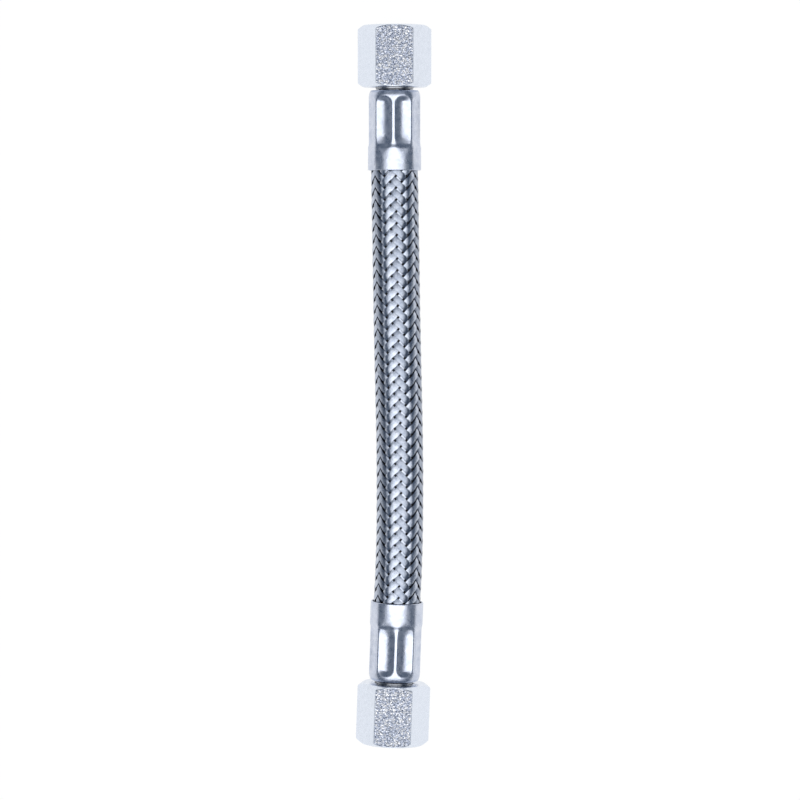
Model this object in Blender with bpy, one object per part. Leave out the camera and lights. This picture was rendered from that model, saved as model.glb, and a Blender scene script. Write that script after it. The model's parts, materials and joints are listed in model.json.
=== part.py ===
"""A short braided connection hose with a crimped ferrule and a loose union nut at each end.

The hose lies on a flat of each nut. +Y runs from the near fitting to the far one, +Z is up, and the
origin is under the middle of the whole hose, on the surface it lies on.
"""
from math import cos, pi, radians, sin, tan

import bmesh
import bpy
from mathutils import Vector

MM = 0.001

# Clearance between pieces that touch on the real hose
SEAT_GAP = 0.3 * MM

# Union nut
NUT_ACROSS_FLATS = 19.0 * MM
NUT_LENGTH = 18.3 * MM
NUT_THREAD_BORE = 14.95 * MM
NUT_BACK_WALL = 4.0 * MM
NUT_EDGE_START = 9.3 * MM
NUT_EDGE_ANGLE = radians(35)
NUT_LEAD_IN = 0.7 * MM
NUT_SIDES = 6
NUT_ROUND_SIDES = 48

# Nipple
NIPPLE_BORE = 7.0 * MM
TAIL_CREST_RADIUS = 4.3 * MM
TAIL_BARB_HEIGHT = 0.35 * MM
TAIL_BARBS = 4
TAIL_BARB_LENGTH = 3.2 * MM
TAIL_SETBACK = 1.5 * MM
TAIL_TIP_EDGE = 0.4 * MM
GROOVE_RADIUS = 4.6 * MM
LAND_RADIUS = 5.4 * MM
LAND_LENGTH = 1.2 * MM
NECK_RADIUS = 5.6 * MM
NECK_SHOWN = 0.9 * MM
FLANGE_RADIUS = 7.15 * MM
FLANGE_THICKNESS = 3.0 * MM
NIPPLE_SIDES = 32

# Flat sealing ring
GASKET_THICKNESS = 2.0 * MM
GASKET_BORE = 8.4 * MM
GASKET_RADIUS = 7.15 * MM

# Crimped ferrule
FERRULE_LENGTH = 23.7 * MM
FERRULE_WALL = 0.5 * MM
FERRULE_BACK_WALL = 1.2 * MM
FERRULE_RIDGE_RADIUS = 7.7 * MM
FERRULE_SKIRT_RADIUS = 7.9 * MM
FERRULE_BACK_RADIUS = 6.8 * MM
FERRULE_SHOULDER = 1.8 * MM
SKIRT_LENGTH = 5.9 * MM
PANEL_START = 8.3 * MM
PANEL_END = 19.6 * MM
PANEL_ARCH = 2.0 * MM
ARCH_OVERLAP = 0.35
FLUTES = 8
FLUTE_DEPTH = 0.85 * MM
SKIRT_FLUTE_SHARE = 0.22
RIDGE_HALF_ANGLE = radians(2.6)
MOUTH_LIP = 0.25 * MM

# Rubber hose
HOSE_BORE = 9.5 * MM
HOSE_WALL = 1.35 * MM
HOSE_SIDES = 24
HOSE_RING_COUNT = 10

# Braid: strands wound both ways, which cross in a lattice of raised diamonds between small holes
BRAID_COLUMNS = 24
BRAID_PITCH = 3.45 * MM
BRAID_WALL = 0.42 * MM
BRAID_RELIEF = 0.26 * MM
BRAID_CRIMPED_WALL = 0.45 * MM

# How the hose lies, from the mouth of the far ferrule to the mouth of the near one
HOSE_SHOWN = 128.9 * MM
NEAR_FITTING_TURN = radians(2.05)
ROUTE_MM = (
    (0.0, 64.45),
    (0.12, 56.6),
    (0.35, 43.5),
    (0.65, 24.3),
    (1.0, 7.1),
    (1.35, -8.1),
    (1.55, -20.2),
    (1.6, -32.4),
    (1.48, -45.5),
    (1.14, -56.6),
    (0.74, -64.45),
)
ROUTE_SAMPLES = 12

# Places along a fitting, counted from the ferrule's mouth towards the nut
FERRULE_INSIDE_END = FERRULE_LENGTH - FERRULE_BACK_WALL
LAND_END = FERRULE_INSIDE_END - SEAT_GAP
LAND_START = LAND_END - LAND_LENGTH
HOSE_END = LAND_START - SEAT_GAP
NECK_START = FERRULE_LENGTH + SEAT_GAP
NUT_BACK = FERRULE_LENGTH + NECK_SHOWN
NUT_CHAMBER = NUT_BACK + NUT_BACK_WALL
FLANGE_BACK = NUT_CHAMBER + SEAT_GAP
FLANGE_FACE = FLANGE_BACK + FLANGE_THICKNESS
GASKET_BACK = FLANGE_FACE + SEAT_GAP
GASKET_FACE = GASKET_BACK + GASKET_THICKNESS
NUT_MOUTH = NUT_BACK + NUT_LENGTH

# Radii that follow from the ones above
AXIS_HEIGHT = NUT_ACROSS_FLATS / 2
HOSE_RADIUS = HOSE_BORE / 2 + HOSE_WALL
CRIMPED_BORE_RADIUS = TAIL_CREST_RADIUS + SEAT_GAP
PANEL_RADIUS = FERRULE_RIDGE_RADIUS - FLUTE_DEPTH
BRAID_CRIMPED_RADIUS = PANEL_RADIUS - FERRULE_WALL - SEAT_GAP
HOSE_CRIMPED_RADIUS = BRAID_CRIMPED_RADIUS - BRAID_CRIMPED_WALL - SEAT_GAP
BRAID_INNER_RADIUS = HOSE_RADIUS + SEAT_GAP


def clear_scene():
    for obj in list(bpy.data.objects):
        bpy.data.objects.remove(obj, do_unlink=True)


def material(name, colour, roughness, metallic):
    made = bpy.data.materials.new(name)
    made.use_nodes = True
    shader = made.node_tree.nodes["Principled BSDF"]
    shader.inputs["Base Color"].default_value = (*colour, 1.0)
    shader.inputs["Roughness"].default_value = roughness
    shader.inputs["Metallic"].default_value = metallic
    return made


def make_materials():
    return {
        "nut": material("plated_nut", (0.62, 0.62, 0.64), 0.32, 1.0),
        "nipple": material("plated_nipple", (0.5, 0.5, 0.52), 0.3, 1.0),
        "ferrule": material("polished_ferrule", (0.66, 0.66, 0.69), 0.16, 1.0),
        "braid": material("steel_braid", (0.58, 0.58, 0.6), 0.34, 1.0),
        "hose": material("black_rubber", (0.03, 0.03, 0.03), 0.7, 0.0),
        "gasket": material("gasket_rubber", (0.05, 0.05, 0.055), 0.6, 0.0),
    }


def smooth_step(x):
    x = min(max(x, 0.0), 1.0)
    return x * x * (3 - 2 * x)


def object_from(bm, name, look):
    """Closes up a bmesh as a smooth-shaded object with sharp edges kept."""
    bmesh.ops.recalc_face_normals(bm, faces=bm.faces)
    mesh = bpy.data.meshes.new(name)
    bm.to_mesh(mesh)
    bm.free()
    mesh.shade_smooth()
    mesh.set_sharp_from_angle(angle=radians(32))
    obj = bpy.data.objects.new(name, mesh)
    if look:
        mesh.materials.append(look)
    bpy.context.scene.collection.objects.link(obj)
    return obj


def turned(name, profile, sides, look=None):
    """Spins a closed outline of (radius, place along Y) points about the Y axis.

    The first corner is half a side from +X, so no side's edge lies on a nut's corner.
    """
    bm = bmesh.new()
    start = pi / sides
    verts = []
    for radius, along in profile:
        verts.append(bm.verts.new((radius * cos(start), along, radius * sin(start))))
    edges = [bm.edges.new((verts[i - 1], verts[i])) for i in range(len(verts))]
    bmesh.ops.spin(
        bm,
        geom=verts + edges,
        cent=(0, 0, 0),
        axis=(0, 1, 0),
        angle=2 * pi,
        steps=sides,
        use_merge=True,
    )
    bmesh.ops.remove_doubles(bm, verts=bm.verts, dist=1e-7)
    return object_from(bm, name, look)


def ring_solid(name, rings, look, split_low_to_low=0):
    """Joins rings of points, in order round the wall's section, into one closed wall.

    The first split_low_to_low bands are split along the valleys between neighbouring holes.
    """
    bm = bmesh.new()
    columns = len(rings[0])
    verts = [[bm.verts.new(point) for point in ring] for ring in rings]
    for j, ring in enumerate(verts):
        following = verts[(j + 1) % len(verts)]
        for c in range(columns):
            d = (c + 1) % columns
            corners = (ring[c], ring[d], following[d], following[c])
            if j >= split_low_to_low:
                bm.faces.new(corners)
                continue
            if (c + j) % 2:
                corners = corners[1:] + corners[:1]
            bm.faces.new(corners[:3])
            bm.faces.new((corners[0], corners[2], corners[3]))
    return object_from(bm, name, look)


def smooth_curve(points, samples):
    """A Catmull-Rom curve through the points, as a list of vectors."""
    ends = [2 * points[0] - points[1], *points, 2 * points[-1] - points[-2]]
    curve = []
    for p0, p1, p2, p3 in zip(ends, ends[1:], ends[2:], ends[3:]):
        for k in range(samples):
            t = k / samples
            curve.append(
                0.5 * (2 * p1 + (p2 - p0) * t)
                + 0.5 * (2 * p0 - 5 * p1 + 4 * p2 - p3) * t * t
                + 0.5 * (3 * p1 - p0 - 3 * p2 + p3) * t * t * t
            )
    return curve + [points[-1]]


class Fitting:
    """Where one end's fitting stands: the middle of its ferrule's mouth, and the way to its nut."""

    def __init__(self, name, mouth, turn):
        self.name = name
        self.mouth = mouth
        self.turn = turn

    def place(self, obj):
        obj.location = self.mouth
        obj.rotation_euler = (0.0, 0.0, self.turn)
        return obj

    def point(self, along):
        return self.mouth + along * Vector((-sin(self.turn), cos(self.turn), 0.0))


class Route:
    """The hose's centreline, from its end in the far ferrule to its end in the near one."""

    def __init__(self, far, near):
        stretch = HOSE_SHOWN / (ROUTE_MM[0][1] - ROUTE_MM[-1][1])
        shown = [Vector((x * MM, y * stretch, AXIS_HEIGHT)) for x, y in ROUTE_MM]
        inside = (HOSE_END, HOSE_END / 2)
        points = [far.point(a) for a in inside]
        points += shown
        points += [near.point(a) for a in reversed(inside)]
        self.line = smooth_curve(points, ROUTE_SAMPLES)
        self.places = [0.0]
        for a, b in zip(self.line, self.line[1:]):
            self.places.append(self.places[-1] + (b - a).length)
        self.length = self.places[-1]

    def at(self, place):
        """The point at that distance along the route, and the sideways direction there."""
        i = 0
        while i < len(self.places) - 2 and self.places[i + 1] < place:
            i += 1
        a, b = self.line[i], self.line[i + 1]
        share = (place - self.places[i]) / (self.places[i + 1] - self.places[i])
        forward = (b - a).normalized()
        return a.lerp(b, share), Vector((-forward.y, forward.x, 0.0))

    def ring(self, place, radii):
        """One point for each radius, evenly round the route, starting at the top."""
        middle, side = self.at(place)
        points = []
        for c, radius in enumerate(radii):
            angle = 2 * pi * c / len(radii)
            points.append(middle + radius * (sin(angle) * side + Vector((0, 0, cos(angle)))))
        return points

    def squeeze(self, place):
        """From 0 on the free hose to 1 where a ferrule's panels grip it."""
        inside = HOSE_END - min(place, self.length - place)
        return smooth_step((inside - SKIRT_LENGTH) / (PANEL_START - SKIRT_LENGTH))


def between(free, crimped, squeeze):
    return free + (crimped - free) * squeeze


def make_rubber_hose(route, look):
    places = [0.0]
    places += [HOSE_END - a for a in (PANEL_START, SKIRT_LENGTH, 0.0)]
    free = route.length - 2 * HOSE_END
    places += [HOSE_END + free * k / HOSE_RING_COUNT for k in range(1, HOSE_RING_COUNT)]
    places += [route.length - p for p in reversed(places[:4])]
    outer = []
    inner = []
    for place in places:
        squeeze = route.squeeze(place)
        outer_radius = between(HOSE_RADIUS, HOSE_CRIMPED_RADIUS, squeeze)
        inner_radius = between(HOSE_BORE / 2, CRIMPED_BORE_RADIUS, squeeze)
        outer.append(route.ring(place, [outer_radius] * HOSE_SIDES))
        inner.append(route.ring(place, [inner_radius] * HOSE_SIDES))
    return ring_solid("rubber_hose", outer + inner[::-1], look)


def make_braid(route, look):
    """The braid as one closed wall: woven relief where it shows, plain in the ferrules."""
    free = route.length - 2 * HOSE_END
    rows = 2 * round(free / BRAID_PITCH)
    crimped = [0.0] + [HOSE_END - a for a in (PANEL_START, SKIRT_LENGTH)]
    woven = [HOSE_END + free * j / rows for j in range(rows + 1)]
    places = crimped + woven + [route.length - p for p in reversed(crimped)]
    outer = []
    for j, place in enumerate(places):
        squeeze = route.squeeze(place)
        free_radius = BRAID_INNER_RADIUS + BRAID_WALL
        low = between(free_radius, BRAID_CRIMPED_RADIUS, squeeze)
        shows = len(crimped) <= j < len(places) - len(crimped)
        relief = BRAID_RELIEF if shows else 0.0
        outer.append(
            route.ring(place, [low + relief * ((c + j) % 2) for c in range(BRAID_COLUMNS)])
        )
    inner_places = crimped + woven[:: rows // 10] + [route.length - p for p in reversed(crimped)]
    crimped_inner = BRAID_CRIMPED_RADIUS - BRAID_CRIMPED_WALL
    inner = []
    for place in inner_places:
        radius = between(BRAID_INNER_RADIUS, crimped_inner, route.squeeze(place))
        inner.append(route.ring(place, [radius] * BRAID_COLUMNS))
    return ring_solid("braid_sleeve", outer + inner[::-1], look, len(outer) - 1)


def flute_angles():
    """The columns of a ferrule: a narrow ridge land, then the panel up to the next ridge."""
    step = 2 * pi / FLUTES
    quarter = (step / 2 - RIDGE_HALF_ANGLE) / 2
    offsets = (0.0, RIDGE_HALF_ANGLE, step / 2 - quarter, step / 2, step / 2 + quarter)
    offsets += (step - RIDGE_HALF_ANGLE,)
    return [step * k + offset for k in range(FLUTES) for offset in offsets]


def panel_share(angle):
    """From 0 on a ridge to 1 at the middle of the panel beside it, hollow in between."""
    step = 2 * pi / FLUTES
    from_ridge = min(angle % step, step - angle % step)
    across = max(from_ridge - RIDGE_HALF_ANGLE, 0.0) / (step / 2 - RIDGE_HALF_ANGLE)
    return 1 - (1 - across) ** 2


def ferrule_radius(along, angle):
    """The crimped ferrule's outside: skirt, sloped panel ends, panels, arched ends, shoulder."""
    share = panel_share(angle)
    to_panel = smooth_step((along - SKIRT_LENGTH) / (PANEL_START - SKIRT_LENGTH))
    in_skirt = SKIRT_FLUTE_SHARE * min(max(along / SKIRT_LENGTH, 0.0), 1.0)
    ridge = between(FERRULE_SKIRT_RADIUS, FERRULE_RIDGE_RADIUS, to_panel)
    arch_end = PANEL_END + PANEL_ARCH * share
    under_arch = smooth_step((arch_end - along) / PANEL_ARCH + ARCH_OVERLAP)
    depth = FLUTE_DEPTH * share * between(in_skirt, 1.0, to_panel) * under_arch
    shoulder_start = FERRULE_LENGTH - FERRULE_SHOULDER
    if along > shoulder_start:
        over = min((along - shoulder_start) / FERRULE_SHOULDER, 1.0)
        fall = 1 - (1 - over * over) ** 0.5
        ridge -= (FERRULE_RIDGE_RADIUS - FERRULE_BACK_RADIUS) * fall
    if along < MOUTH_LIP:
        ridge -= MOUTH_LIP - along
    return ridge - depth


def ferrule_ring(along, radius_at):
    ring = []
    for angle in flute_angles():
        radius = radius_at(angle)
        ring.append((radius * sin(angle), along, radius * cos(angle)))
    return ring


def make_ferrule(fitting, look):
    outside = [0.0, MOUTH_LIP, SKIRT_LENGTH / 2, SKIRT_LENGTH]
    outside += [(SKIRT_LENGTH + PANEL_START) / 2, PANEL_START, PANEL_END - PANEL_ARCH]
    outside += [PANEL_END + PANEL_ARCH * share for share in (-0.4, 0.0, 0.4, 0.8)]
    shoulder_start = FERRULE_LENGTH - FERRULE_SHOULDER
    outside += [shoulder_start + FERRULE_SHOULDER * share for share in (0.4, 0.7, 0.9, 1.0)]
    inside = [0.0, SKIRT_LENGTH / 2, SKIRT_LENGTH, PANEL_START, PANEL_END, FERRULE_INSIDE_END]
    rings = [ferrule_ring(a, lambda angle, a=a: ferrule_radius(a, angle)) for a in outside]
    hole = GROOVE_RADIUS + SEAT_GAP
    rings.append(ferrule_ring(FERRULE_LENGTH, lambda angle: hole))
    rings.append(ferrule_ring(FERRULE_INSIDE_END, lambda angle: hole))
    for a in reversed(inside):
        like = min(max(a, MOUTH_LIP), PANEL_END)
        rings.append(
            ferrule_ring(a, lambda angle, like=like: ferrule_radius(like, angle) - FERRULE_WALL)
        )
    ferrule = ring_solid(f"ferrule_{fitting.name}", rings, look)
    return fitting.place(ferrule)


def make_nipple(fitting, look):
    bore = NIPPLE_BORE / 2
    barb_root = TAIL_CREST_RADIUS - TAIL_BARB_HEIGHT
    profile = [(bore, TAIL_SETBACK), (barb_root - TAIL_TIP_EDGE / 2, TAIL_SETBACK)]
    profile.append((barb_root, TAIL_SETBACK + TAIL_TIP_EDGE))
    start = TAIL_SETBACK + TAIL_TIP_EDGE
    for k in range(TAIL_BARBS):
        crest = start + (k + 1) * TAIL_BARB_LENGTH
        profile.append((TAIL_CREST_RADIUS, crest))
        profile.append((barb_root, crest + TAIL_TIP_EDGE / 2))
    profile += [
        (barb_root, LAND_START),
        (LAND_RADIUS, LAND_START),
        (LAND_RADIUS, LAND_END),
        (GROOVE_RADIUS, LAND_END),
        (GROOVE_RADIUS, NECK_START),
        (NECK_RADIUS, NECK_START),
        (NECK_RADIUS, FLANGE_BACK),
        (FLANGE_RADIUS, FLANGE_BACK),
        (FLANGE_RADIUS, FLANGE_FACE),
        (bore, FLANGE_FACE),
    ]
    nipple = turned(f"nipple_{fitting.name}", profile, NIPPLE_SIDES, look)
    return fitting.place(nipple)


def make_gasket(fitting, look):
    profile = [
        (GASKET_BORE / 2, GASKET_BACK),
        (GASKET_RADIUS, GASKET_BACK),
        (GASKET_RADIUS, GASKET_FACE),
        (GASKET_BORE / 2, GASKET_FACE),
    ]
    gasket = turned(f"gasket_{fitting.name}", profile, NIPPLE_SIDES, look)
    return fitting.place(gasket)


def hexagon_bar(name, across_flats, start, end, look):
    """A six-sided bar along Y, with a flat on top and one below."""
    corner = across_flats / 2 / cos(pi / NUT_SIDES)
    bm = bmesh.new()
    verts = []
    for k in range(NUT_SIDES):
        angle = 2 * pi * k / NUT_SIDES
        verts.append(bm.verts.new((corner * cos(angle), start, corner * sin(angle))))
    face = bm.faces.new(verts)
    grown = bmesh.ops.extrude_face_region(bm, geom=[face])
    moved = [part for part in grown["geom"] if isinstance(part, bmesh.types.BMVert)]
    bmesh.ops.translate(bm, verts=moved, vec=(0.0, end - start, 0.0))
    return object_from(bm, name, look)


def as_cutter(obj):
    obj.hide_render = True
    obj.display_type = "WIRE"
    return obj


def cut(obj, name, operation, tool):
    step = obj.modifiers.new(name, "BOOLEAN")
    step.operation = operation
    step.solver = "EXACT"
    step.object = tool


def make_nut(fitting, look):
    """A six-sided bar with its corners turned off at both ends, bored for neck and thread."""
    name = f"union_nut_{fitting.name}"
    past = NUT_BACK_WALL / 2
    nut = hexagon_bar(name, NUT_ACROSS_FLATS, NUT_BACK - past, NUT_MOUTH + past, look)
    reach = NUT_ACROSS_FLATS
    edge = (reach - NUT_EDGE_START) * tan(NUT_EDGE_ANGLE)
    blank = [
        (0.0, NUT_BACK),
        (NUT_EDGE_START, NUT_BACK),
        (reach, NUT_BACK + edge),
        (reach, NUT_MOUTH - edge),
        (NUT_EDGE_START, NUT_MOUTH),
        (0.0, NUT_MOUTH),
    ]
    hole = NECK_RADIUS + SEAT_GAP
    thread = NUT_THREAD_BORE / 2
    bore = [
        (0.0, NUT_BACK - past),
        (hole, NUT_BACK - past),
        (hole, NUT_CHAMBER),
        (thread, NUT_CHAMBER),
        (thread, NUT_MOUTH - NUT_LEAD_IN),
        (thread + NUT_LEAD_IN, NUT_MOUTH),
        (thread + NUT_LEAD_IN, NUT_MOUTH + past),
        (0.0, NUT_MOUTH + past),
    ]
    edges = as_cutter(turned(f"{name}_edge_blank", blank, NUT_ROUND_SIDES))
    inside = as_cutter(turned(f"{name}_bore_cutter", bore, NUT_ROUND_SIDES))
    cut(nut, "turned_edges", "INTERSECT", edges)
    cut(nut, "bore", "DIFFERENCE", inside)
    return [fitting.place(obj) for obj in (nut, edges, inside)]


def stand_on_origin(objects):
    """Moves the hose so that the origin lies under the middle of its box."""
    bpy.context.view_layer.update()
    graph = bpy.context.evaluated_depsgraph_get()
    corners = []
    for obj in objects:
        if obj.hide_render:
            continue
        seen = obj.evaluated_get(graph)
        corners += [seen.matrix_world @ vert.co for vert in seen.data.vertices]
    for axis in (0, 1):
        low = min(corner[axis] for corner in corners)
        high = max(corner[axis] for corner in corners)
        for obj in objects:
            obj.location[axis] -= (low + high) / 2


def main():
    clear_scene()
    looks = make_materials()
    half = HOSE_SHOWN / 2
    far = Fitting("far", Vector((ROUTE_MM[0][0] * MM, half, AXIS_HEIGHT)), 0.0)
    near_mouth = Vector((ROUTE_MM[-1][0] * MM, -half, AXIS_HEIGHT))
    near = Fitting("near", near_mouth, pi - NEAR_FITTING_TURN)
    route = Route(far, near)
    made = [make_rubber_hose(route, looks["hose"]), make_braid(route, looks["braid"])]
    for fitting in (far, near):
        made.append(make_ferrule(fitting, looks["ferrule"]))
        made.append(make_nipple(fitting, looks["nipple"]))
        made.append(make_gasket(fitting, looks["gasket"]))
        made += make_nut(fitting, looks["nut"])
    stand_on_origin(made)


main()
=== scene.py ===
"""Looks for the braided connection hose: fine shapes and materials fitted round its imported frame.

Lengths are in metres. A place along a fitting is counted from its ferrule's mouth towards its nut.
"""
import json
import random
from math import atan2, cos, pi, radians, sin, sqrt, tan

import bpy
import numpy as np
from mathutils import Matrix, Vector

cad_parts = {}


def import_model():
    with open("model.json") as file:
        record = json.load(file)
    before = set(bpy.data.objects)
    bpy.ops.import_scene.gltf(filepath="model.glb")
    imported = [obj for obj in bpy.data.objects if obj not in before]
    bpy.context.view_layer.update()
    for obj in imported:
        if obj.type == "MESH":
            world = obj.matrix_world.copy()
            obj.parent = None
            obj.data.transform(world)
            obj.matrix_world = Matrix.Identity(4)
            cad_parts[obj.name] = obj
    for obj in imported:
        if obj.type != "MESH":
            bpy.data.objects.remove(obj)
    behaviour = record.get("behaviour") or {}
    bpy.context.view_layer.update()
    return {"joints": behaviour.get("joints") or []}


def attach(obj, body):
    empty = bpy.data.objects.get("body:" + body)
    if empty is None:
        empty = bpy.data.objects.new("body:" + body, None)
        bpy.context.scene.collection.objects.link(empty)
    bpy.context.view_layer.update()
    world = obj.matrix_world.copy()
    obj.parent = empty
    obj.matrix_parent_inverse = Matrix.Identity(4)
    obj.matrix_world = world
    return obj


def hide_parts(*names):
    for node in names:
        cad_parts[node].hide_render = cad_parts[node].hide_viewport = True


MM = 0.001
SEED = 5

# The gap between pieces that seat on each other, and the angle from which an edge is sharp
SEAT_GAP = 0.3 * MM
SHARP_ANGLE = radians(32)

# Union nut
NUT_SIDES = 6
NUT_ACROSS_FLATS = 19.0 * MM
NUT_LENGTH = 18.3 * MM
NUT_BACK_WALL = 4.0 * MM
NUT_EDGE_START = 9.3 * MM
NUT_EDGE_ANGLE = radians(35)
NUT_EDGE_SHARES = (0.1, 0.5, 0.9)
NUT_CORNER_RADIUS = 0.35 * MM
NUT_EDGE_ROUNDING = 0.12 * MM
NUT_LEAD_IN = 0.7 * MM
NUT_HOLE_GAP = 0.25 * MM
NUT_HOLE_EDGE = 0.3 * MM
NUT_SHARP_ANGLE = radians(24)
NUT_FLAT_STEPS = 14
NUT_ARC_STEPS = 4
NUT_SIDE_STEPS = 24

# The nut's thread: its profile, and where it fades out at the chamber and at the mouth
THREAD_CREST_RADIUS = 7.475 * MM
THREAD_DEPTH = 0.8 * MM
THREAD_PITCH = 1.337 * MM
THREAD_STEEPNESS = 2.6
THREAD_CREST_FLAT = 0.15
THREAD_START = 2.4 * MM
THREAD_FADE_IN = 1.2 * MM
THREAD_END = 0.5 * MM
THREAD_FADE_OUT = 0.8 * MM
THREAD_STEPS = 132

# A face is part of the nut's upper or lower flat if it faces so much up or down, so far out
FLAT_FACING = 0.99
FLAT_DISTANCE = 9.4 * MM

# Nipple
NIPPLE_BORE = 7.0 * MM
TAIL_CREST_RADIUS = 4.3 * MM
TAIL_BARB_HEIGHT = 0.35 * MM
TAIL_BARBS = 4
TAIL_BARB_LENGTH = 3.2 * MM
TAIL_BARB_DROP = 0.2 * MM
TAIL_SETBACK = 1.5 * MM
TAIL_TIP = 0.4 * MM
GROOVE_RADIUS = 4.6 * MM
LAND_RADIUS = 5.4 * MM
LAND_LENGTH = 1.2 * MM
NECK_RADIUS = 5.6 * MM
NECK_SHOWN = 0.9 * MM
FLANGE_RADIUS = 7.15 * MM
FLANGE_THICKNESS = 3.0 * MM
NIPPLE_EDGE = 0.15 * MM
TURNED_SIDES = 96

# Flat sealing ring
GASKET_BORE_RADIUS = 4.2 * MM
GASKET_RADIUS = 7.15 * MM
GASKET_THICKNESS = 2.0 * MM
GASKET_EDGE = 0.2 * MM

# Crimped ferrule
FERRULE_LENGTH = 23.7 * MM
FERRULE_WALL = 0.5 * MM
FERRULE_BACK_WALL = 1.2 * MM
FERRULE_HOLE_GAP = 0.1 * MM
FERRULE_RIDGE_RADIUS = 7.66 * MM
FERRULE_SKIRT_RADIUS = 7.9 * MM
FERRULE_BACK_RADIUS = 6.8 * MM
FERRULE_SHOULDER = 2.3 * MM
FERRULE_SHARP_ANGLE = radians(38)
SKIRT_LENGTH = 5.9 * MM
PANEL_START = 10.6 * MM
PANEL_SLOPE_IN = 5.6 * MM
PANEL_ARCH_IN = 2.0 * MM
PANEL_END = 22.4 * MM
PANEL_SLOPE_OUT = 2.3 * MM
PANEL_ARCH_OUT = 0.9 * MM
FLUTES = 8
FLUTE_DEPTH = 0.98 * MM
SKIRT_FLUTE_SHARE = 0.15
RIDGE_START = 6.5 * MM
RIDGE_SLOPE = 1.4 * MM
RIDGE_HALF_ANGLE = radians(2.6)
RIDGE_SOFTNESS = radians(1.1)
MOUTH_LIP = 0.25 * MM
FERRULE_TWIST = {"far": radians(-2.5), "near": radians(-1.0)}
MOUTH_STEPS = 4
BODY_STEPS = 100
SHOULDER_STEPS = 14
INSIDE_STEPS = 24

# Degrees from a ridge to each column of points beside it
FLUTE_OFFSETS = (0, 1.3, 2.2, 2.9, 3.6, 4.5, 5.8, 7.6, 10, 13, 16, 19.2)

# Places along a fitting
FERRULE_INSIDE_END = FERRULE_LENGTH - FERRULE_BACK_WALL
LAND_END = FERRULE_INSIDE_END - SEAT_GAP
LAND_START = LAND_END - LAND_LENGTH
HOSE_END = LAND_START - SEAT_GAP
NECK_START = FERRULE_LENGTH + SEAT_GAP
NUT_BACK = FERRULE_LENGTH + NECK_SHOWN
NUT_CHAMBER = NUT_BACK + NUT_BACK_WALL
NUT_MIDDLE = NUT_BACK + NUT_LENGTH / 2
NUT_MOUTH = NUT_BACK + NUT_LENGTH
FLANGE_BACK = NUT_CHAMBER + SEAT_GAP
FLANGE_FACE = FLANGE_BACK + FLANGE_THICKNESS
GASKET_BACK = FLANGE_FACE + SEAT_GAP
GASKET_FACE = GASKET_BACK + GASKET_THICKNESS

# Rubber hose, gripped fully from GRIP_START on
HOSE_RADIUS = 6.05 * MM
HOSE_BORE_RADIUS = 4.75 * MM
HOSE_CRIMPED_RADIUS = 5.3 * MM
HOSE_CRIMPED_BORE_RADIUS = 4.6 * MM
GRIP_START = 8.8 * MM
HOSE_SPANS = 60
HOSE_SIDES = 64

# Braid: twelve strands each way, crossing in columns round the hose
STRANDS = 12
STRAND_STEP = 2 * pi / STRANDS
COLUMN_STEP = STRAND_STEP / 2
BRAID_PITCH = 3.484 * MM
BRAID_RADIUS = 6.7 * MM
BRAID_CRIMPED_RADIUS = 5.83 * MM
BRAID_SWING = 0.25 * MM
BRAID_CRIMPED_SWING = 0.1 * MM
FLOAT_FLATNESS = 3.1
FLOAT_CENTRE = radians(-19.3)
COLUMN_ANGLE = radians(3.2)
ROW_PLACE = 52.0 * MM

# Strand: flat wires side by side. Its bend is how much it curves across, against the hose itself
STRAND_WIDTH = 1.92 * MM
STRAND_PINCH = 0.08
STRAND_THICKNESS = 0.25 * MM
STRAND_CROWN = 0.07 * MM
STRAND_BACK_SHARE = 0.42
STRAND_BEND = 0.7
STRAND_UNEVENNESS = 0.012 * MM
STRAND_END_GAP = 0.2 * MM
WIRES = 7
WIRE_GROOVE = 0.035 * MM

# How many places a strand is sampled at, from the middle of a float to the middle of its dive
FLOAT_SAMPLES = 8

# The hose's centreline, from the far ferrule's mouth to the near one's
ROUTE_SHIFT = Vector((0.373, 0.152, 9.5)) * MM
ROUTE_MM = (
    (0.0, 64.45),
    (0.12, 56.6),
    (0.35, 43.5),
    (0.65, 24.3),
    (1.0, 7.1),
    (1.35, -8.1),
    (1.55, -20.2),
    (1.6, -32.4),
    (1.48, -45.5),
    (1.14, -56.6),
    (0.74, -64.45),
)
ROUTE_SAMPLES = 12

# Camera, over the hose's far half and tilted a little towards its middle
CAMERA_PLACE = Vector((2.0, 56.3, 956.3)) * MM
CAMERA_AIM = Vector((2.0, -3.8, 9.5)) * MM
CAMERA_LENS = 142.9
CAMERA_CLIP = (0.05, 60.0)
SENSOR_WIDTH = 36.0

# The soft light's edges, as slopes from straight up, each from dark to fully lit
LIGHT_ACROSS = ((-1.25, -0.55), (1.2, 0.55))
LIGHT_ALONG = ((-0.95, -0.4), (0.5, 0.1))
LIGHT_COLOUR = (1.9, 1.9, 1.9)
ROOM_COLOUR = (0.12, 0.15, 0.195)

# How high over the horizon the light starts and is whole, for a direction of length 1
LIGHT_HEIGHT = (0.05, 0.15)

# White floor: how much of what the camera and reflections see of it is plain white
FLOOR_REACH = 20.0
FLOOR_DROP = 0.1 * MM
FLOOR_COLOUR = (0.93, 0.93, 0.93)
FLOOR_WHITE = 1.03
FLOOR_WHITE_SHARE = 0.95

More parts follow.
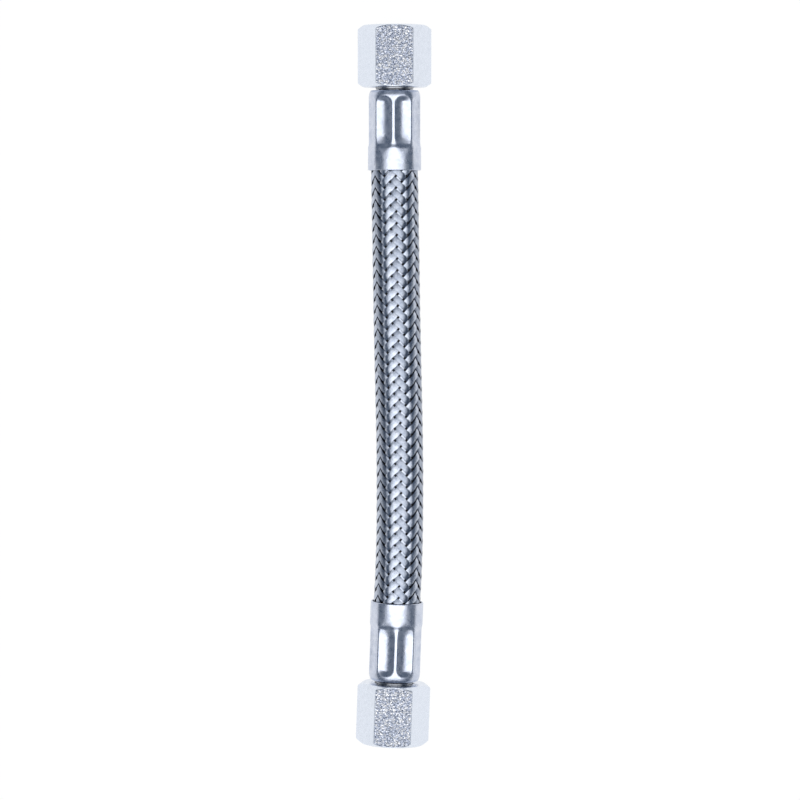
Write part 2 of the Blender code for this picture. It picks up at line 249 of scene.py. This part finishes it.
# Colours, the tints from dark to light. The falling strands' tints are a darker copy of the rising
# ones: painted shade for the way the light falls on the falling strands
NUT_TINT = ((0.76, 0.81, 0.9), (0.77, 0.82, 0.91))
NUT_GRAIN = 0.003 * MM
FLAT_TINT = ((0.56, 0.61, 0.74), (0.98, 0.98, 1.0))
FLAT_GRAIN = 0.4 * MM
FERRULE_COLOUR = (0.66, 0.7, 0.8)
FERRULE_TINT = ((0.58, 0.63, 0.75), (0.68, 0.72, 0.82))
# The nipple's grey metal is darkened further as painted shade, for the narrow gap between nut and
# ferrule where its neck shows
NIPPLE_SHADED_COLOUR = (0.36, 0.37, 0.39)
BRAID_LIT_AND_SHADED_TINTS = {
    "rising": ((0.42, 0.47, 0.57), (0.58, 0.62, 0.71)),
    "falling": ((0.28, 0.32, 0.4), (0.4, 0.435, 0.51)),
}
GASKET_COLOUR = (0.035, 0.035, 0.04)
RUBBER_COLOUR = (0.012, 0.013, 0.016)
RUBBER_LIGHTER = 1.6
RUBBER_SPREAD = (-0.1, 0.08)

# The values of a noise between which a look changes
PATCHES = (0.3, 0.7)

UP = Vector((0.0, 0.0, 1.0))


def smooth_step(x):
    x = min(max(x, 0.0), 1.0)
    return x * x * (3 - 2 * x)


def between(a, b, share):
    return a + (b - a) * share


# Meshes


def mesh_object(name, points, faces, sharp_angle=None):
    mesh = bpy.data.meshes.new(name)
    mesh.from_pydata(points, [], faces)
    mesh.validate()
    mesh.shade_smooth()
    if sharp_angle:
        mesh.set_sharp_from_angle(angle=sharp_angle)
    obj = bpy.data.objects.new(name, mesh)
    bpy.context.scene.collection.objects.link(obj)
    return obj


def ring_faces(rings, columns, closed_section, first=0):
    """Quads between neighbouring rings. A closed section also joins the last ring to the first."""
    faces = []
    spans = rings if closed_section else rings - 1
    for j in range(spans):
        a = first + j * columns
        b = first + (j + 1) % rings * columns
        for c in range(columns):
            d = (c + 1) % columns
            faces.append((a + c, a + d, b + d, b + c))
    return faces


def ring_object(name, rings, sharp_angle=SHARP_ANGLE):
    """A closed wall from rings of points, given in order round the wall's section."""
    points = [point for ring in rings for point in ring]
    faces = ring_faces(len(rings), len(rings[0]), closed_section=True)
    return mesh_object(name, points, faces, sharp_angle)


# Where the fittings and the hose are


class Fitting:
    """One end's fitting: the middle of its ferrule's mouth, and the way from there to its nut."""

    def __init__(self, name, joints):
        self.name = name
        joint = next(j for j in joints if j["name"] == f"nut_{name}_spin")
        self.forward = Vector(joint["axis"]).normalized()
        self.mouth = Vector(joint["pos_m"]) - NUT_MIDDLE * self.forward
        self.side = self.forward.cross(UP)

    def point(self, along, radius=0.0, angle=0.0):
        """The point at that place along, so far from the axis, at that angle from the top."""
        out = sin(angle) * self.side + cos(angle) * UP
        return self.mouth + along * self.forward + radius * out

    def turned(self, name, profile):
        """Spins a closed outline of (radius, place along) points about the fitting's axis."""
        angles = [2 * pi * c / TURNED_SIDES for c in range(TURNED_SIDES)]
        rings = []
        for radius, along in profile:
            rings.append([self.point(along, radius, angle) for angle in angles])
        return ring_object(name, rings)


def smooth_curve(points, samples):
    """A Catmull-Rom curve through the points, as a list of vectors."""
    ends = [2 * points[0] - points[1], *points, 2 * points[-1] - points[-2]]
    curve = []
    for p0, p1, p2, p3 in zip(ends, ends[1:], ends[2:], ends[3:]):
        for k in range(samples):
            t = k / samples
            curve.append(
                0.5 * (2 * p1 + (p2 - p0) * t)
                + 0.5 * (2 * p0 - 5 * p1 + 4 * p2 - p3) * t * t
                + 0.5 * (3 * p1 - p0 - 3 * p2 + p3) * t * t * t
            )
    return curve + [points[-1]]


class Route:
    """The hose's centreline, from its end in the far ferrule to its end in the near one."""

    def __init__(self, far, near):
        inside = (HOSE_END, HOSE_END / 2)
        points = [far.point(a) for a in inside]
        points += [ROUTE_SHIFT + Vector((x, y, 0.0)) * MM for x, y in ROUTE_MM]
        points += [near.point(a) for a in reversed(inside)]
        self.line = smooth_curve(points, ROUTE_SAMPLES)
        self.places = [0.0]
        for a, b in zip(self.line, self.line[1:]):
            self.places.append(self.places[-1] + (b - a).length)
        self.length = self.places[-1]
        last = len(self.line) - 1
        self.ways = []
        for i in range(len(self.line)):
            way = self.line[min(i + 1, last)] - self.line[max(i - 1, 0)]
            self.ways.append(way.normalized())

    def at(self, place):
        """The point at that distance along the route, and the sideways direction there."""
        i = int(np.searchsorted(self.places, place, side="right")) - 1
        i = min(max(i, 0), len(self.places) - 2)
        share = (place - self.places[i]) / (self.places[i + 1] - self.places[i])
        way = self.ways[i].lerp(self.ways[i + 1], share).normalized()
        return self.line[i].lerp(self.line[i + 1], share), Vector((-way.y, way.x, 0.0))

    def point(self, place, radius, angle):
        middle, side = self.at(place)
        return middle + radius * (sin(angle) * side + cos(angle) * UP)

    def outwards(self, place, angle):
        """The direction away from the centreline, at that angle from the top."""
        side = self.at(place)[1]
        return sin(angle) * side + cos(angle) * UP

    def squeeze(self, place):
        """From 0 on the free hose to 1 where a ferrule's panels grip it."""
        inside = HOSE_END - min(place, self.length - place)
        return smooth_step((inside - SKIRT_LENGTH) / (GRIP_START - SKIRT_LENGTH))


# Rubber hose and braid


def make_rubber_hose(route):
    angles = [2 * pi * c / HOSE_SIDES for c in range(HOSE_SIDES)]
    outer = []
    inner = []
    for k in range(HOSE_SPANS + 1):
        place = route.length * k / HOSE_SPANS
        squeeze = route.squeeze(place)
        radius = between(HOSE_RADIUS, HOSE_CRIMPED_RADIUS, squeeze)
        bore = between(HOSE_BORE_RADIUS, HOSE_CRIMPED_BORE_RADIUS, squeeze)
        outer.append([route.point(place, radius, angle) for angle in angles])
        inner.append([route.point(place, bore, angle) for angle in angles])
    return ring_object("dressed_hose", outer + inner[::-1])


def strand_section():
    """Across the strand and up from its middle: wires side by side on top, flat below."""
    section = []
    steps = 2 * WIRES
    for i in range(steps + 1):
        across = i / steps - 0.5
        up = STRAND_THICKNESS / 2 - STRAND_CROWN * (2 * across) ** 2
        if i % 2 == 0:
            up -= WIRE_GROOVE
        section.append((across * STRAND_WIDTH, up))
    for share in (STRAND_BACK_SHARE, -STRAND_BACK_SHARE):
        section.append((share * STRAND_WIDTH, -STRAND_THICKNESS / 2))
    return section


def strand_samples(route, turn, start):
    """Pairs of (place, angle) along one strand. turn is 1 or -1, the way it winds."""
    rate = turn * COLUMN_STEP / (BRAID_PITCH / 2)
    samples = []
    first = start - rate * ROW_PLACE
    last = first + rate * route.length
    low = int((min(first, last) - FLOAT_CENTRE) / STRAND_STEP) - 2
    high = int((max(first, last) - FLOAT_CENTRE) / STRAND_STEP) + 2
    for k in range(low, high):
        for n in range(FLOAT_SAMPLES):
            angle = FLOAT_CENTRE + STRAND_STEP * (k + n / FLOAT_SAMPLES)
            place = (angle - first) / rate
            if not STRAND_END_GAP < place < route.length - STRAND_END_GAP:
                continue
            hidden = HOSE_END - min(place, route.length - place) > SKIRT_LENGTH
            if hidden and n % 2:
                continue
            samples.append((place, angle))
    samples.sort()
    return samples


def swing(angle):
    """From 1 in the middle of a strand's float over two others to -1 in the middle of its dive."""
    waves = (angle - FLOAT_CENTRE) / STRAND_STEP
    near = round(waves)
    arc = 1 - abs(2 * (waves - near)) ** FLOAT_FLATNESS
    return arc if near % 2 == 0 else -arc


def strand_line(route, samples, over, lift):
    """The strand's middle at each sample, over and under the strands that it crosses."""
    line = []
    for place, angle in samples:
        squeeze = route.squeeze(place)
        radius = between(BRAID_RADIUS, BRAID_CRIMPED_RADIUS, squeeze)
        height = over * swing(angle) * between(BRAID_SWING, BRAID_CRIMPED_SWING, squeeze)
        line.append(route.point(place, radius + height + lift, angle))
    return line


def strand_points(route, samples, line, section):
    """The section's points at each sample, turned to the strand's way and curved to the hose."""
    points = []
    last = len(line) - 1
    for i, (place, angle) in enumerate(samples):
        out = route.outwards(place, angle)
        way = (line[min(i + 1, last)] - line[max(i - 1, 0)]).normalized()
        up = (out - out.dot(way) * way).normalized()
        across = way.cross(up)
        spread = 1 - STRAND_PINCH * cos(2 * pi * (angle - FLOAT_CENTRE) / COLUMN_STEP)
        for b, h in section:
            bend = (b * STRAND_BEND) ** 2 / (2 * BRAID_RADIUS)
            points.append(line[i] + b * spread * across + (h - bend) * up)
    return points


def strand_faces(first, rings, count):
    faces = ring_faces(rings, count, closed_section=False, first=first)
    end = first + (rings - 1) * count
    faces.append(tuple(first + c for c in reversed(range(count))))
    faces.append(tuple(end + c for c in range(count)))
    return faces


def mark_grooves(mesh, count):
    """Keeps the grooves between wires, and the strand's two edges, sharp."""
    ends = np.zeros(len(mesh.edges) * 2, dtype=np.int64)
    mesh.edges.foreach_get("vertices", ends)
    spot = ends.reshape(-1, 2) % count
    groove = (spot[:, 0] == spot[:, 1]) & ((spot[:, 0] % 2 == 0) | (spot[:, 0] > 2 * WIRES))
    layer = mesh.attributes.get("sharp_edge")
    if layer is None:
        layer = mesh.attributes.new("sharp_edge", "BOOLEAN", "EDGE")
    layer.data.foreach_set("value", groove)
    mesh.update()


def make_braid(route, name, turn, over, chance):
    """All strands that wind one way. over is 1 or -1, whether they are up at FLOAT_CENTRE."""
    section = strand_section()
    points = []
    faces = []
    for k in range(STRANDS):
        samples = strand_samples(route, turn, COLUMN_ANGLE + STRAND_STEP * k)
        lift = chance.uniform(-STRAND_UNEVENNESS, STRAND_UNEVENNESS)
        line = strand_line(route, samples, over, lift)
        faces += strand_faces(len(points), len(line), len(section))
        points += strand_points(route, samples, line, section)
    obj = mesh_object(name, points, faces)
    mark_grooves(obj.data, len(section))
    return obj


# Ferrule


def flute_angles():
    """The columns of a ferrule, closest together beside each ridge."""
    step = 2 * pi / FLUTES
    rise = [radians(x) for x in FLUTE_OFFSETS]
    one = rise + [step / 2] + [step - x for x in reversed(rise[1:])]
    return [step * k + x for k in range(FLUTES) for x in one]


def panel_share(angle):
    """From 0 on a ridge to 1 at the middle of the panel beside it, hollow in between."""
    step = 2 * pi / FLUTES
    turn = angle % step
    past = min(turn, step - turn) - RIDGE_HALF_ANGLE
    past = (past + sqrt(past * past + RIDGE_SOFTNESS * RIDGE_SOFTNESS)) / 2
    across = min(past / (step / 2 - RIDGE_HALF_ANGLE), 1.0)
    return 1 - (1 - across) ** 2


def ferrule_radius(along, angle):
    """The crimped ferrule's outside: skirt, sloped panel ends, panels, arched ends, shoulder."""
    share = panel_share(angle)
    slope_in = PANEL_SLOPE_IN - (1 - share) * PANEL_ARCH_IN
    to_panel = smooth_step((along - PANEL_START) / slope_in + 1)
    in_skirt = SKIRT_FLUTE_SHARE * min(max(along / SKIRT_LENGTH, 0.0), 1.0)
    to_ridge = smooth_step((along - RIDGE_START) / RIDGE_SLOPE)
    ridge = between(FERRULE_SKIRT_RADIUS, FERRULE_RIDGE_RADIUS, to_ridge)
    end = PANEL_END - (1 - share) * PANEL_ARCH_OUT
    before_end = smooth_step((end - along) / PANEL_SLOPE_OUT)
    depth = FLUTE_DEPTH * share * between(in_skirt, 1.0, to_panel) * before_end
    shoulder_start = FERRULE_LENGTH - FERRULE_SHOULDER
    if along > shoulder_start:
        over = min((along - shoulder_start) / FERRULE_SHOULDER, 1.0)
        fall = 1 - sqrt(1 - over * over)
        ridge -= (FERRULE_RIDGE_RADIUS - FERRULE_BACK_RADIUS) * fall
    return ridge - depth


def ferrule_places():
    """Pairs of (place along, drop from the outside) from the mouth's lip to the back."""
    shoulder_start = FERRULE_LENGTH - FERRULE_SHOULDER
    places = []
    for k in range(MOUTH_STEPS + 1):
        turn = pi / 2 * k / MOUTH_STEPS
        places.append((MOUTH_LIP * (1 - cos(turn)), MOUTH_LIP * (1 - sin(turn))))
    for k in range(1, BODY_STEPS + 1):
        places.append((between(MOUTH_LIP, shoulder_start, k / BODY_STEPS), 0.0))
    for k in range(1, SHOULDER_STEPS + 1):
        turn = pi / 2 * k / SHOULDER_STEPS
        places.append((shoulder_start + FERRULE_SHOULDER * sin(turn), 0.0))
    return places


def make_ferrule(fitting):
    angles = flute_angles()
    rings = []
    twist = FERRULE_TWIST[fitting.name]

    def ring(along, radius_at):
        rings.append([fitting.point(along, radius_at(a), a + twist) for a in angles])

    for along, drop in ferrule_places():
        ring(along, lambda a, s=along, d=drop: ferrule_radius(s, a) - d)
    for along in (FERRULE_LENGTH, FERRULE_INSIDE_END):
        ring(along, lambda a: GROOVE_RADIUS + FERRULE_HOLE_GAP)
    for k in range(INSIDE_STEPS + 1):
        along = FERRULE_INSIDE_END * (1 - k / INSIDE_STEPS)
        like = min(max(along, MOUTH_LIP), PANEL_END - PANEL_SLOPE_OUT)
        ring(along, lambda a, s=like: ferrule_radius(s, a) - FERRULE_WALL)
    return ring_object(f"dressed_ferrule_{fitting.name}", rings, FERRULE_SHARP_ANGLE)


# Nipple and sealing ring


def eased(profile, edge):
    """Cuts each corner of a closed outline with a small bevel."""
    outline = []
    count = len(profile)
    for i in range(count):
        here = Vector(profile[i])
        for other in (Vector(profile[i - 1]), Vector(profile[(i + 1) % count])):
            way = other - here
            reach = min(edge, way.length / 3)
            outline.append(tuple(here + way.normalized() * reach))
    return outline


def make_nipple(fitting):
    bore = NIPPLE_BORE / 2
    barb_root = TAIL_CREST_RADIUS - TAIL_BARB_HEIGHT
    profile = [(bore, TAIL_SETBACK), (barb_root, TAIL_SETBACK)]
    for k in range(TAIL_BARBS):
        crest = TAIL_SETBACK + TAIL_TIP + (k + 1) * TAIL_BARB_LENGTH
        profile.append((TAIL_CREST_RADIUS, crest))
        profile.append((barb_root, crest + TAIL_BARB_DROP))
    profile += [
        (barb_root, LAND_START),
        (LAND_RADIUS, LAND_START),
        (LAND_RADIUS, LAND_END),
        (GROOVE_RADIUS, LAND_END),
        (GROOVE_RADIUS, NECK_START),
        (NECK_RADIUS, NECK_START),
        (NECK_RADIUS, FLANGE_BACK),
        (FLANGE_RADIUS, FLANGE_BACK),
        (FLANGE_RADIUS, FLANGE_FACE),
        (bore, FLANGE_FACE),
    ]
    return fitting.turned(f"dressed_nipple_{fitting.name}", eased(profile, NIPPLE_EDGE))


def make_gasket(fitting):
    profile = [
        (GASKET_BORE_RADIUS, GASKET_BACK),
        (GASKET_RADIUS, GASKET_BACK),
        (GASKET_RADIUS, GASKET_FACE),
        (GASKET_BORE_RADIUS, GASKET_FACE),
    ]
    return fitting.turned(f"dressed_gasket_{fitting.name}", eased(profile, GASKET_EDGE))


# Nut


def nut_outline():
    """Points (angle, radius) round the hexagon, corners rounded, a flat on top and one below."""
    step = 2 * pi / NUT_SIDES
    half_flat = NUT_ACROSS_FLATS / 2
    straight = (half_flat - NUT_CORNER_RADIUS) * tan(step / 2)
    outline = []
    for k in range(NUT_SIDES):
        for i in range(NUT_FLAT_STEPS + 1):
            outline.append((step * k, straight * (2 * i / NUT_FLAT_STEPS - 1), half_flat))
        for i in range(1, NUT_ARC_STEPS):
            turn = step * i / NUT_ARC_STEPS
            across = straight + NUT_CORNER_RADIUS * sin(turn)
            up = half_flat - NUT_CORNER_RADIUS * (1 - cos(turn))
            outline.append((step * k, across, up))
    made = []
    for middle, across, up in outline:
        made.append((middle + atan2(across, up), sqrt(across * across + up * up)))
    return made


def thread_radius(along, angle):
    """The inside of the nut: a thread that fades out towards the chamber and the mouth."""
    turn = (along / THREAD_PITCH - angle / (2 * pi)) % 1.0
    ridge = smooth_step(abs(turn - 0.5) * THREAD_STEEPNESS - THREAD_CREST_FLAT)
    fade_in = smooth_step((along - NUT_CHAMBER - THREAD_START) / THREAD_FADE_IN)
    fade_out = smooth_step((NUT_MOUTH - THREAD_END - along) / THREAD_FADE_OUT)
    radius = THREAD_CREST_RADIUS + THREAD_DEPTH * ridge * fade_in * fade_out
    lead = max(along - (NUT_MOUTH - NUT_LEAD_IN), 0.0)
    return max(radius, THREAD_CREST_RADIUS + lead)


def edge_length(radius):
    """How far the chamfer at each end of the nut reaches along a corner of that radius."""
    return max(radius - NUT_EDGE_START, 0.0) * tan(NUT_EDGE_ANGLE)


def make_nut(fitting):
    outline = nut_outline()
    hole = NECK_RADIUS + NUT_HOLE_GAP
    flat_edge = NUT_EDGE_START - NUT_EDGE_ROUNDING

    def round_ring(along, radius):
        return [fitting.point(along, radius, angle) for angle, _ in outline]

    def edge_ring(end, inwards, share):
        made = []
        for angle, radius in outline:
            along = end + inwards * edge_length(radius) * share
            made.append(fitting.point(along, between(NUT_EDGE_START, radius, share), angle))
        return made

    def side_ring(share):
        made = []
        for angle, radius in outline:
            edge = edge_length(radius) + NUT_EDGE_ROUNDING
            made.append(
                fitting.point(between(NUT_BACK + edge, NUT_MOUTH - edge, share), radius, angle)
            )
        return made

    def thread_ring(along):
        return [fitting.point(along, thread_radius(along, angle), angle) for angle, _ in outline]

    rings = [round_ring(NUT_BACK, r) for r in (hole, (hole + NUT_EDGE_START) / 2, flat_edge)]
    rings += [edge_ring(NUT_BACK, 1, share) for share in NUT_EDGE_SHARES]
    rings += [side_ring(k / NUT_SIDE_STEPS) for k in range(NUT_SIDE_STEPS + 1)]
    rings += [edge_ring(NUT_MOUTH, -1, share) for share in reversed(NUT_EDGE_SHARES)]
    rings.append(round_ring(NUT_MOUTH, flat_edge))
    for k in range(THREAD_STEPS + 1):
        rings.append(thread_ring(between(NUT_MOUTH, NUT_CHAMBER, k / THREAD_STEPS)))
    rings.append(round_ring(NUT_CHAMBER, hole + NUT_HOLE_EDGE))
    rings.append(round_ring(NUT_CHAMBER - NUT_HOLE_EDGE, hole))
    return ring_object(f"dressed_nut_{fitting.name}", rings, NUT_SHARP_ANGLE)


def grain_flats(nut, look):
    """Gives the nut's upper and lower flats a second look."""
    nut.data.materials.append(look)
    for face in nut.data.polygons:
        distance = abs(face.center.z - NUT_ACROSS_FLATS / 2)
        if abs(face.normal.z) > FLAT_FACING and distance > FLAT_DISTANCE:
            face.material_index = 1


# Shader nodes


def math_node(tree, operation, a, b):
    """The result of a sum on two values, each an output or a number."""
    node = tree.nodes.new("ShaderNodeMath")
    node.operation = operation
    for socket, value in zip(node.inputs, (a, b)):
        if isinstance(value, float):
            socket.default_value = value
        else:
            tree.links.new(value, socket)
    return node.outputs[0]


def map_range(tree, value, spread, result=(0.0, 1.0), interpolation="LINEAR"):
    """The value, moved from one range to another."""
    node = tree.nodes.new("ShaderNodeMapRange")
    node.interpolation_type = interpolation
    names = ("From Min", "From Max", "To Min", "To Max")
    for name, number in zip(names, (*spread, *result)):
        node.inputs[name].default_value = number
    tree.links.new(value, node.inputs["Value"])
    return node.outputs["Result"]


def mixed_colour(tree, share, a, b):
    node = tree.nodes.new("ShaderNodeMix")
    node.data_type = "RGBA"
    node.inputs["A"].default_value = (*a, 1.0)
    node.inputs["B"].default_value = (*b, 1.0)
    tree.links.new(share, node.inputs["Factor"])
    return node.outputs["Result"]


# Materials


class Look:
    """A material on the principled shader, with helpers that add nodes to it."""

    def __init__(self, name, colour, roughness, metallic=1.0):
        self.material = bpy.data.materials.new(name)
        self.material.use_nodes = True
        self.tree = self.material.node_tree
        self.shader = self.tree.nodes["Principled BSDF"]
        self.shader.inputs["Base Color"].default_value = (*colour, 1.0)
        self.shader.inputs["Roughness"].default_value = roughness
        self.shader.inputs["Metallic"].default_value = metallic
        self.place = self.tree.nodes.new("ShaderNodeTexCoord").outputs["Object"]
        self.normal = None

    def noise(self, scale, detail=2.0, roughness=0.5, distortion=0.0):
        noise = self.tree.nodes.new("ShaderNodeTexNoise")
        noise.inputs["Scale"].default_value = scale
        noise.inputs["Detail"].default_value = detail
        noise.inputs["Roughness"].default_value = roughness
        noise.inputs["Distortion"].default_value = distortion
        self.tree.links.new(self.place, noise.inputs["Vector"])
        return noise.outputs["Fac"]

    def tint(self, dark, light, scale, detail=2.0, spread=PATCHES):
        """Colours the surface in soft patches between two colours."""
        share = map_range(self.tree, self.noise(scale, detail), spread)
        colour = mixed_colour(self.tree, share, dark, light)
        self.tree.links.new(colour, self.shader.inputs["Base Color"])

    def rough(self, low, high, scale, detail=2.0):
        """Makes the surface smoother and rougher in soft patches."""
        roughness = map_range(self.tree, self.noise(scale, detail), PATCHES, (low, high))
        self.tree.links.new(roughness, self.shader.inputs["Roughness"])

    def bump(self, height, distance):
        bump = self.tree.nodes.new("ShaderNodeBump")
        bump.inputs["Strength"].default_value = 1.0
        bump.inputs["Distance"].default_value = distance
        self.tree.links.new(height, bump.inputs["Height"])
        if self.normal is not None:
            self.tree.links.new(self.normal, bump.inputs["Normal"])
        self.normal = bump.outputs["Normal"]
        self.tree.links.new(self.normal, self.shader.inputs["Normal"])


def make_nut_look(name, grain, dark, light):
    look = Look(name, light, roughness=0.25)
    look.bump(look.noise(2000, roughness=0.6, distortion=0.8), grain)
    look.tint(dark, light, scale=1600, spread=(0.46, 0.62))
    look.rough(0.2, 0.34, scale=900)
    return look.material


def make_ferrule_look():
    look = Look("polished_ferrule", FERRULE_COLOUR, roughness=0.2)
    look.bump(look.noise(520, detail=4, roughness=0.6), 0.06 * MM)
    look.bump(look.noise(2600, detail=1), 0.015 * MM)
    look.tint(*FERRULE_TINT, scale=420, detail=4, spread=(0.35, 0.65))
    look.rough(0.24, 0.38, scale=800, detail=3)
    return look.material


def make_nipple_look():
    # Grey metal, its darkness partly painted shade for the gap round the neck
    look = Look("plated_nipple", NIPPLE_SHADED_COLOUR, roughness=0.28)
    look.bump(look.noise(700), 0.02 * MM)
    look.rough(0.22, 0.36, scale=500)
    return look.material


def make_braid_look(name, dark, light):
    look = Look(name, light, roughness=0.17)
    look.tint(dark, light, scale=700)
    look.rough(0.12, 0.22, scale=1500)
    look.bump(look.noise(2500, detail=1), 0.02 * MM)
    return look.material


def make_rubber_look(name, colour, roughness):
    look = Look(name, colour, roughness, metallic=0.0)
    look.bump(look.noise(1800, detail=3), 0.04 * MM)
    lighter = tuple(c * RUBBER_LIGHTER for c in colour)
    look.tint(colour, lighter, scale=400, detail=3)
    look.rough(*(roughness + change for change in RUBBER_SPREAD), scale=900)
    return look.material


# Stage


def make_floor():
    corners = ((-1, -1), (1, -1), (1, 1), (-1, 1))
    points = [(FLOOR_REACH * x, FLOOR_REACH * y, -FLOOR_DROP) for x, y in corners]
    floor = mesh_object("floor", points, [(0, 1, 2, 3)])
    material = bpy.data.materials.new("white_floor")
    material.use_nodes = True
    tree = material.node_tree
    tree.nodes.remove(tree.nodes["Principled BSDF"])
    diffuse = tree.nodes.new("ShaderNodeBsdfDiffuse")
    diffuse.inputs["Color"].default_value = (*FLOOR_COLOUR, 1.0)
    plain = tree.nodes.new("ShaderNodeEmission")
    plain.inputs["Strength"].default_value = FLOOR_WHITE
    path = tree.nodes.new("ShaderNodeLightPath")
    seen = path.outputs["Is Camera Ray"]
    for name in ("Is Glossy Ray", "Is Transmission Ray"):
        seen = math_node(tree, "MAXIMUM", seen, path.outputs[name])
    share = math_node(tree, "MULTIPLY", seen, FLOOR_WHITE_SHARE)
    mix = tree.nodes.new("ShaderNodeMixShader")
    tree.links.new(share, mix.inputs["Fac"])
    tree.links.new(diffuse.outputs["BSDF"], mix.inputs[1])
    tree.links.new(plain.outputs["Emission"], mix.inputs[2])
    tree.links.new(mix.outputs["Shader"], tree.nodes["Material Output"].inputs["Surface"])
    floor.data.materials.append(material)


def make_world():
    """A wide soft light above, a little to the near side, and a dim room round it."""
    world = bpy.data.worlds.new("studio")
    world.use_nodes = True
    bpy.context.scene.world = world
    tree = world.node_tree
    place = tree.nodes.new("ShaderNodeTexCoord")
    split = tree.nodes.new("ShaderNodeSeparateXYZ")
    tree.links.new(place.outputs["Generated"], split.inputs[0])
    lit = map_range(tree, split.outputs["Z"], LIGHT_HEIGHT)
    for axis, edges in (("X", LIGHT_ACROSS), ("Y", LIGHT_ALONG)):
        slope = math_node(tree, "DIVIDE", split.outputs[axis], split.outputs["Z"])
        for edge in edges:
            inside = map_range(tree, slope, edge, interpolation="SMOOTHSTEP")
            lit = math_node(tree, "MULTIPLY", lit, inside)
    colour = mixed_colour(tree, lit, ROOM_COLOUR, LIGHT_COLOUR)
    tree.links.new(colour, tree.nodes["Background"].inputs["Color"])


def make_camera():
    camera = bpy.data.objects.new("camera", bpy.data.cameras.new("camera"))
    bpy.context.scene.collection.objects.link(camera)
    camera.data.lens = CAMERA_LENS
    camera.data.sensor_width = SENSOR_WIDTH
    camera.data.clip_start, camera.data.clip_end = CAMERA_CLIP
    back = (CAMERA_PLACE - CAMERA_AIM).normalized()
    right = Vector((1.0, 0.0, 0.0))
    up = back.cross(right)
    turn = Matrix((right, up, back)).transposed().to_4x4()
    camera.matrix_world = Matrix.Translation(CAMERA_PLACE) @ turn
    bpy.context.scene.camera = camera


# Putting it together


def dress(obj, look, body, slot, *nodes):
    obj.data.materials.append(look)
    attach(obj, body)
    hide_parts(*nodes)
    return obj


def make_hose(route):
    """The braid's two halves, rising and falling to the right, and the rubber hose in them."""
    chance = random.Random(SEED)
    pieces = []
    for name, turn, over in (("rising", -1, 1), ("falling", 1, -1)):
        strands = make_braid(route, f"braid_{name}", turn, over, chance)
        # The falling strands get the darker copy of the steel, a painted shade
        look = make_braid_look(f"steel_braid_lit_and_shaded_{name}", *BRAID_LIT_AND_SHADED_TINTS[name])
        pieces.append(dress(strands, look, "hose", "braid", "braid_sleeve"))
    look = make_rubber_look("black_rubber", RUBBER_COLOUR, 0.65)
    pieces.append(dress(make_rubber_hose(route), look, "hose", "hose", "rubber_hose"))
    return pieces


def make_ends(fittings):
    """Each fitting's ferrule, nipple, gasket and nut, as one list for each fitting."""
    ferrule_look = make_ferrule_look()
    nipple_look = make_nipple_look()
    gasket_look = make_rubber_look("gasket_rubber", GASKET_COLOUR, 0.6)
    nut_look = make_nut_look("plated_nut", NUT_GRAIN, *NUT_TINT)
    flat_look = make_nut_look("plated_nut_grain", FLAT_GRAIN, *FLAT_TINT)
    ends = []
    for fitting in fittings:
        name = fitting.name
        ferrule = dress(make_ferrule(fitting), ferrule_look, "hose", "ferrule", f"ferrule_{name}")
        nipple = dress(make_nipple(fitting), nipple_look, "hose", "nipple", f"nipple_{name}")
        gasket = dress(make_gasket(fitting), gasket_look, f"seal_{name}", "gasket", f"gasket_{name}")
        nut = dress(make_nut(fitting), nut_look, f"nut_{name}", "union_nut", f"union_nut_{name}")
        grain_flats(nut, flat_look)
        ends.append([ferrule, nipple, gasket, nut])
    return ends


def main():
    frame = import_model()
    bpy.context.scene.view_settings.view_transform = "Standard"
    make_camera()
    make_floor()
    make_world()

    fittings = [Fitting(name, frame["joints"]) for name in ("far", "near")]
    route = Route(*fittings)
    rising, falling, hose = make_hose(route)
    ends = make_ends(fittings)


main()
